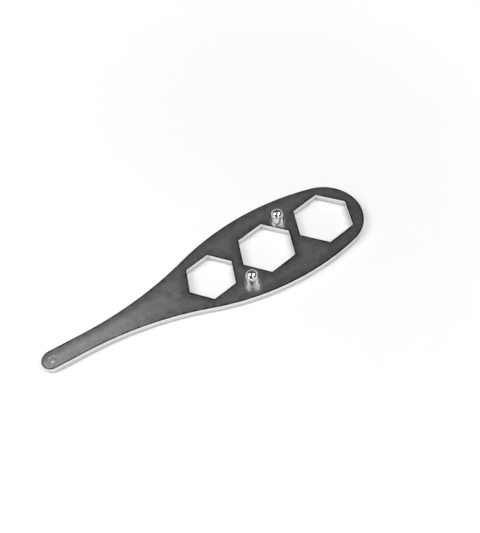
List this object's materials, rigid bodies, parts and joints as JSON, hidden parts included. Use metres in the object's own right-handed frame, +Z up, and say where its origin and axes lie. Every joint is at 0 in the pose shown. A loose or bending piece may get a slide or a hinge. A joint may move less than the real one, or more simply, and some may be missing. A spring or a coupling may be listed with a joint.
{
  "type": "clutch removal tool",
  "caption": "Flat steel paddle wrench with graded hexagon openings and upright round-ended drive pins, for holding or unscrewing the clutch of a small engine.",
  "frame": {"origin": "on the back face that the tool lies on, midway along its length and its width", "axes": "+X from the hanging hole along the handle to the nose, +Z up out of the face that the pins stand on, +Y to the left of the nose seen from above"},
  "size_m": [0.1628, 0.0454, 0.0105],
  "materials": {
    "plate_steel": "satin dark rolled faces with bright bare cut edges",
    "pin_steel": "polished"
  },
  "bodies": {
    "root": {"paddle_plate": "plate_steel", "drive_pin_nose_side": "pin_steel", "drive_pin_handle_side": "pin_steel"}
  },
  "joints": []
}
